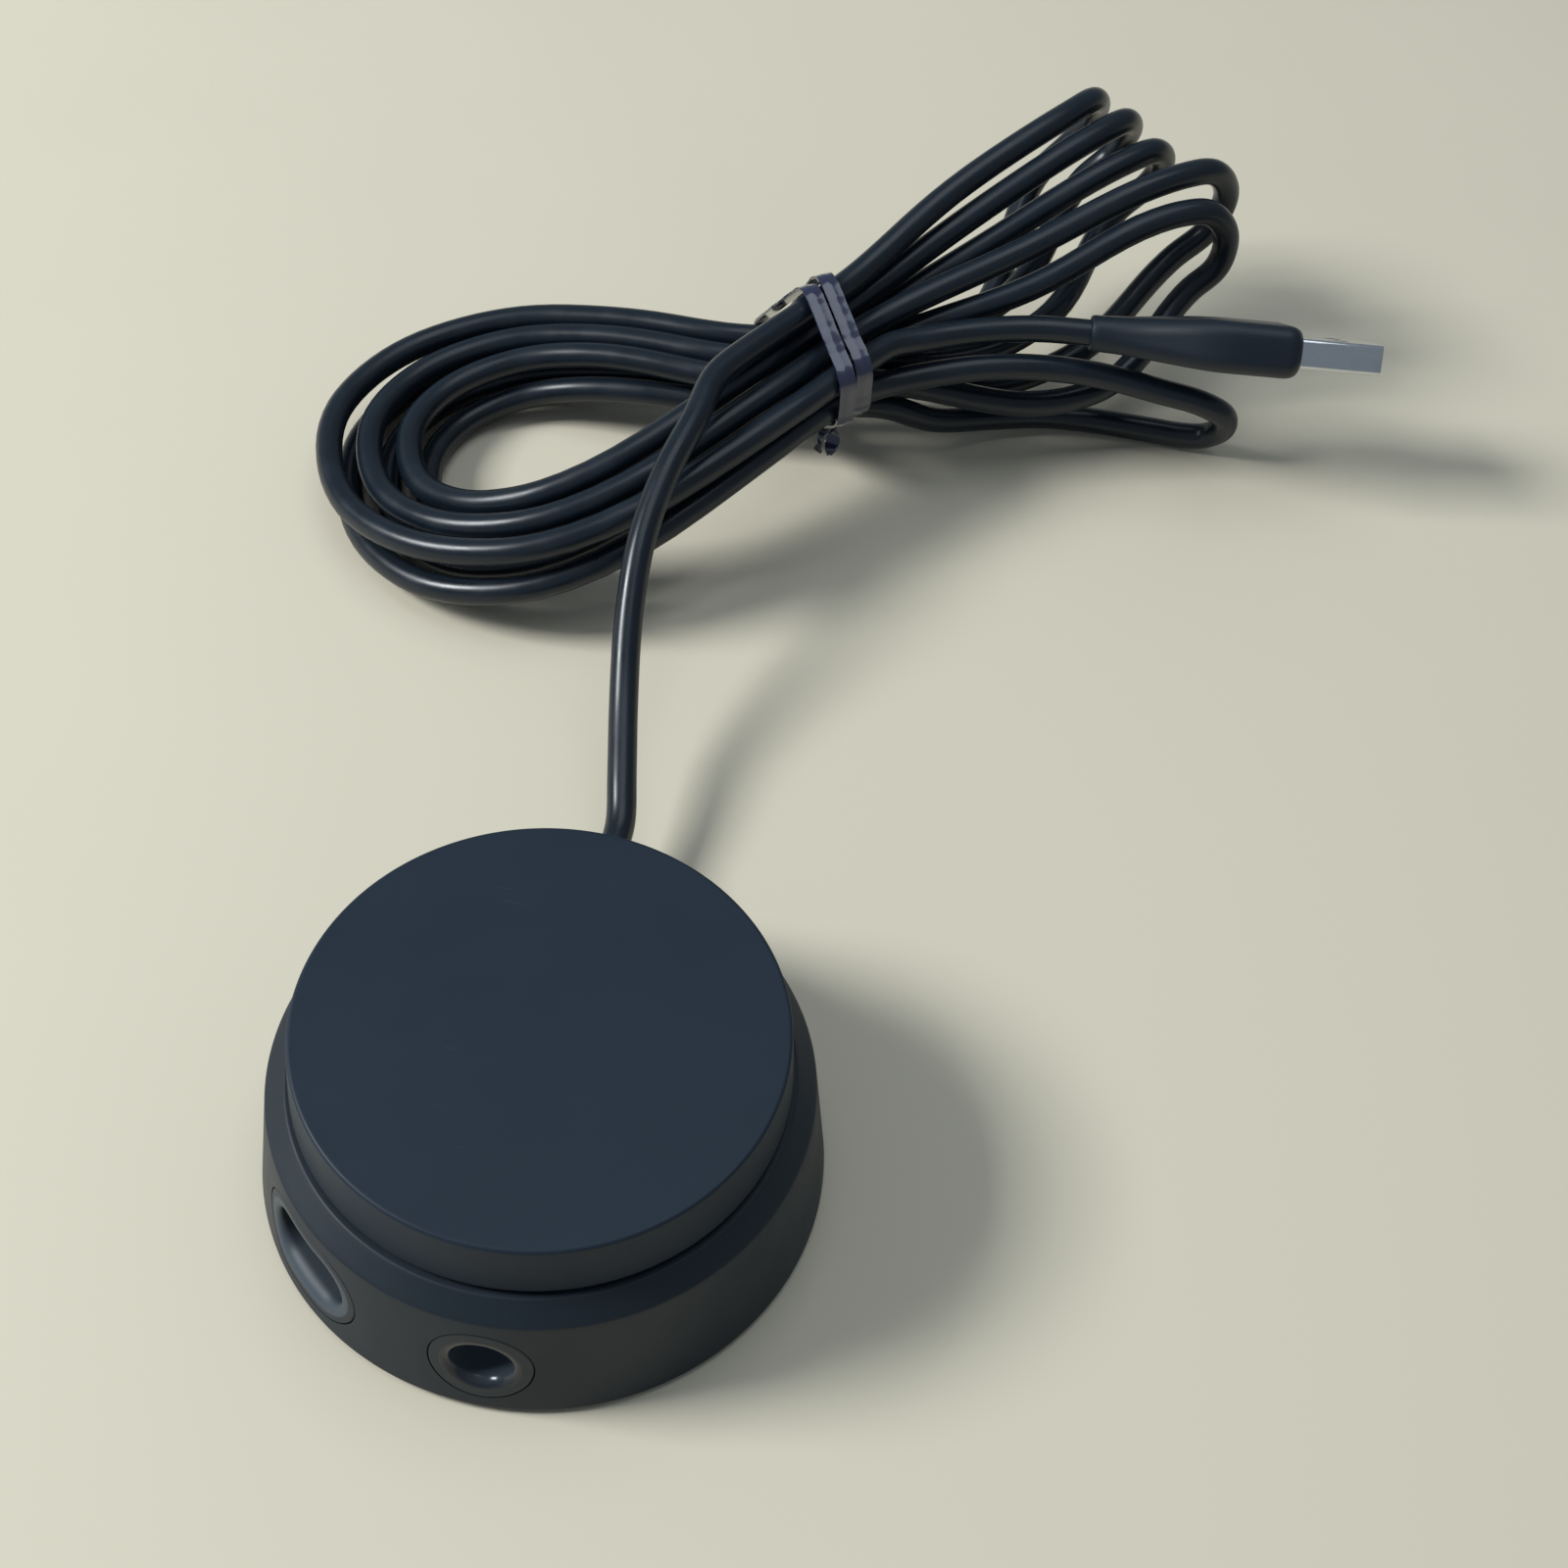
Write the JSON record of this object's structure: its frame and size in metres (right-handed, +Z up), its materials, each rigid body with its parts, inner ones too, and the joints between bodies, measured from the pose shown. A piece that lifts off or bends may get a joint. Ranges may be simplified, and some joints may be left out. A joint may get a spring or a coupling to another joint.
{
  "type": "usb volume dial",
  "caption": "Round desk volume dial on a flared base with a headphone jack and a wide socket in its front, on a USB lead folded into a tied hank.",
  "frame": {"origin": "middle of the base where its foot ring stands on the table", "axes": "+Z up along the dial's axis, cord leaves along +Y, headphone jack faces -Y"},
  "size_m": [0.1564, 0.2187, 0.0423],
  "materials": {
    "charcoal_plastic": "fine matte texture",
    "dial_plastic": "fine matte texture",
    "black_plastic": "matte",
    "gloss_black": "glossy",
    "foot_rubber": "matte rubber",
    "screw_steel": "plain zinc",
    "bright_steel": "machined",
    "board_laminate": "solder mask",
    "white_plastic": "plain",
    "part_case": "plain",
    "brass": "plain",
    "wire_skin": "plain",
    "cord_skin": "satin PVC",
    "tie_film": "glossy film over a wire",
    "plug_nickel": "bright nickel"
  },
  "bodies": {
    "base": {"base_shell": "charcoal_plastic", "bottom_cover": "black_plastic", "foot_ring": "foot_rubber", "cover_screws": "screw_steel", "circuit_board": "board_laminate", "board_screws": "screw_steel", "encoder_body": "black_plastic", "encoder_bushing": "bright_steel", "encoder_washer": "bright_steel", "encoder_nut": "bright_steel", "push_dome": "bright_steel", "round_socket_insert": "gloss_black", "jack_body": "black_plastic", "jack_tabs": "brass", "wide_socket_insert": "gloss_black", "wide_socket_core": "black_plastic", "wide_socket_contacts": "brass", "audio_chip": "black_plastic", "board_parts": "part_case", "wire_header": "white_plastic", "inner_wires": "wire_skin", "cord_gland": "cord_skin", "cord_lead": "cord_skin", "cord_hank": "cord_skin", "cord_tail": "cord_skin", "cord_tie": "tie_film", "tie_ends": "tie_film", "plug_overmould": "cord_skin", "plug_shell": "plug_nickel", "plug_tongue": "white_plastic", "plug_contacts": "brass"},
    "press": {"switch_plunger": "white_plastic"},
    "dial": {"dial_cap": "dial_plastic", "dial_hub": "brass", "encoder_shaft": "bright_steel"}
  },
  "joints": [
    {"name": "dial_press", "type": "slide", "parent": "base", "child": "press", "axis": [0, 0, -1], "range_m": [0, 0.0005], "stiffness_N_per_m": 3000, "springref_m": -0.0005},
    {"name": "dial_turn", "type": "hinge", "parent": "press", "child": "dial", "pos_m": [0, 0, 0.02], "axis": [0, 0, 1], "continuous": true}
  ]
}
